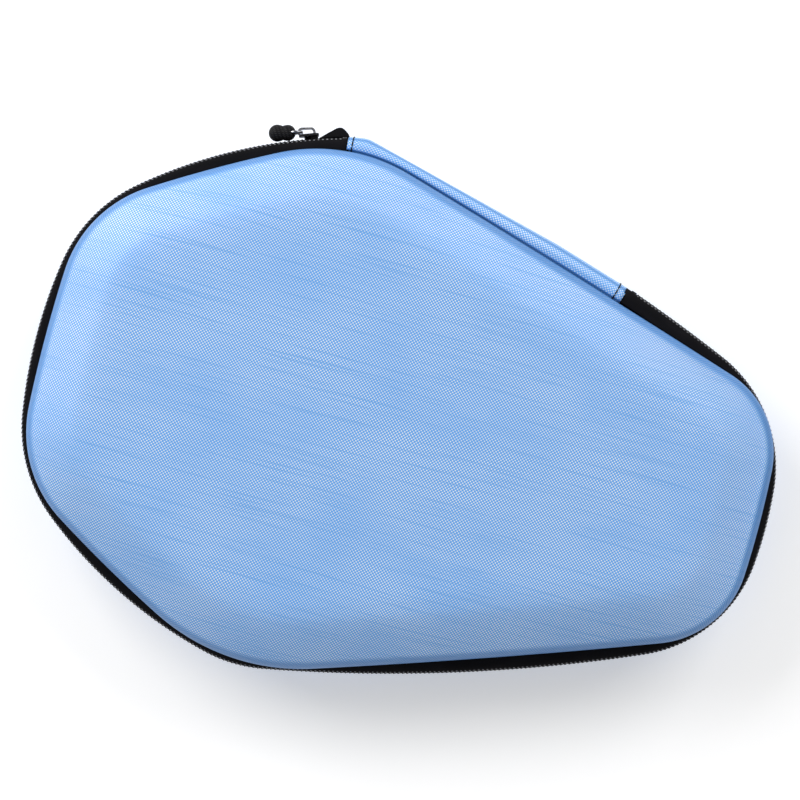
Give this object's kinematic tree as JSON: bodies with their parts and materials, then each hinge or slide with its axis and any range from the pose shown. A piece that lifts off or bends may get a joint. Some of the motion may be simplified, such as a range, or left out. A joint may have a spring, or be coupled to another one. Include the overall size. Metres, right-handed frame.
{
  "type": "table tennis paddle case",
  "caption": "Hard-shell paddle case in blue woven-look fabric: a lid on a fabric hinge strip, closed by a coil zipper with a sliding pull; strap and mesh ball pocket inside.",
  "frame": {"origin": "middle of the case's box in X and Y, on the surface that the back shell rests on", "axes": "+X from the blade end to the handle end, +Y towards the hinge strip, +Z from the back shell through the lid"},
  "size_m": [0.3006, 0.2169, 0.048],
  "materials": {
    "shell_fabric": "woven-look coated fabric with a metallic sheen",
    "foam": "moulded EVA foam",
    "lining": "knitted lining",
    "tape": "woven zipper tape",
    "coil": "nylon coil",
    "bright_metal": "bright nickel",
    "dark_metal": "black enamel",
    "grip_rubber": "soft moulded rubber with fine ribs",
    "elastic": "woven elastic",
    "thread": "sewing thread",
    "mesh": "open knitted mesh"
  },
  "bodies": {
    "case_back": {"back_cover": "shell_fabric", "back_core": "foam", "back_lining": "lining", "back_binding": "tape", "back_tape": "tape", "back_coil": "coil", "back_tape_end": "tape", "back_top_stop": "bright_metal", "bottom_stop": "coil", "hinge_strip": "shell_fabric", "hinge_lining": "lining", "strip_stitch_blade": "thread", "strip_stitch_handle": "thread", "paddle_strap": "elastic", "strap_tacks": "thread"},
    "lid": {"front_cover": "shell_fabric", "front_core": "foam", "front_lining": "lining", "front_binding": "tape", "front_tape": "tape", "front_coil": "coil", "front_tape_end": "tape", "front_top_stop": "bright_metal", "ball_pocket": "mesh", "pocket_hem": "elastic"},
    "slider": {"slider_body": "dark_metal", "slider_crown": "bright_metal"},
    "pull": {"pull_wire": "bright_metal", "pull_grip": "grip_rubber"}
  },
  "joints": [
    {"name": "lid_hinge", "type": "hinge", "parent": "case_back", "child": "lid", "pos_m": [-0.03682, 0.10641, 0.024], "axis": [-0.9682, 0.25, 0], "range_deg": [0, 180], "deforming": ["hinge_strip", "hinge_lining", "strip_stitch_blade", "strip_stitch_handle"]},
    {"name": "slider_run", "type": "hinge", "parent": "case_back", "child": "slider", "pos_m": [0.00076, -0.08557, 0.024], "axis": [0, 0, 1], "range_deg": [0, 18]},
    {"name": "pull_swing", "type": "hinge", "parent": "slider", "child": "pull", "pos_m": [-0.06847, 0.10352, 0.024], "axis": [0, 0, -1], "range_deg": [0, 110]}
  ]
}
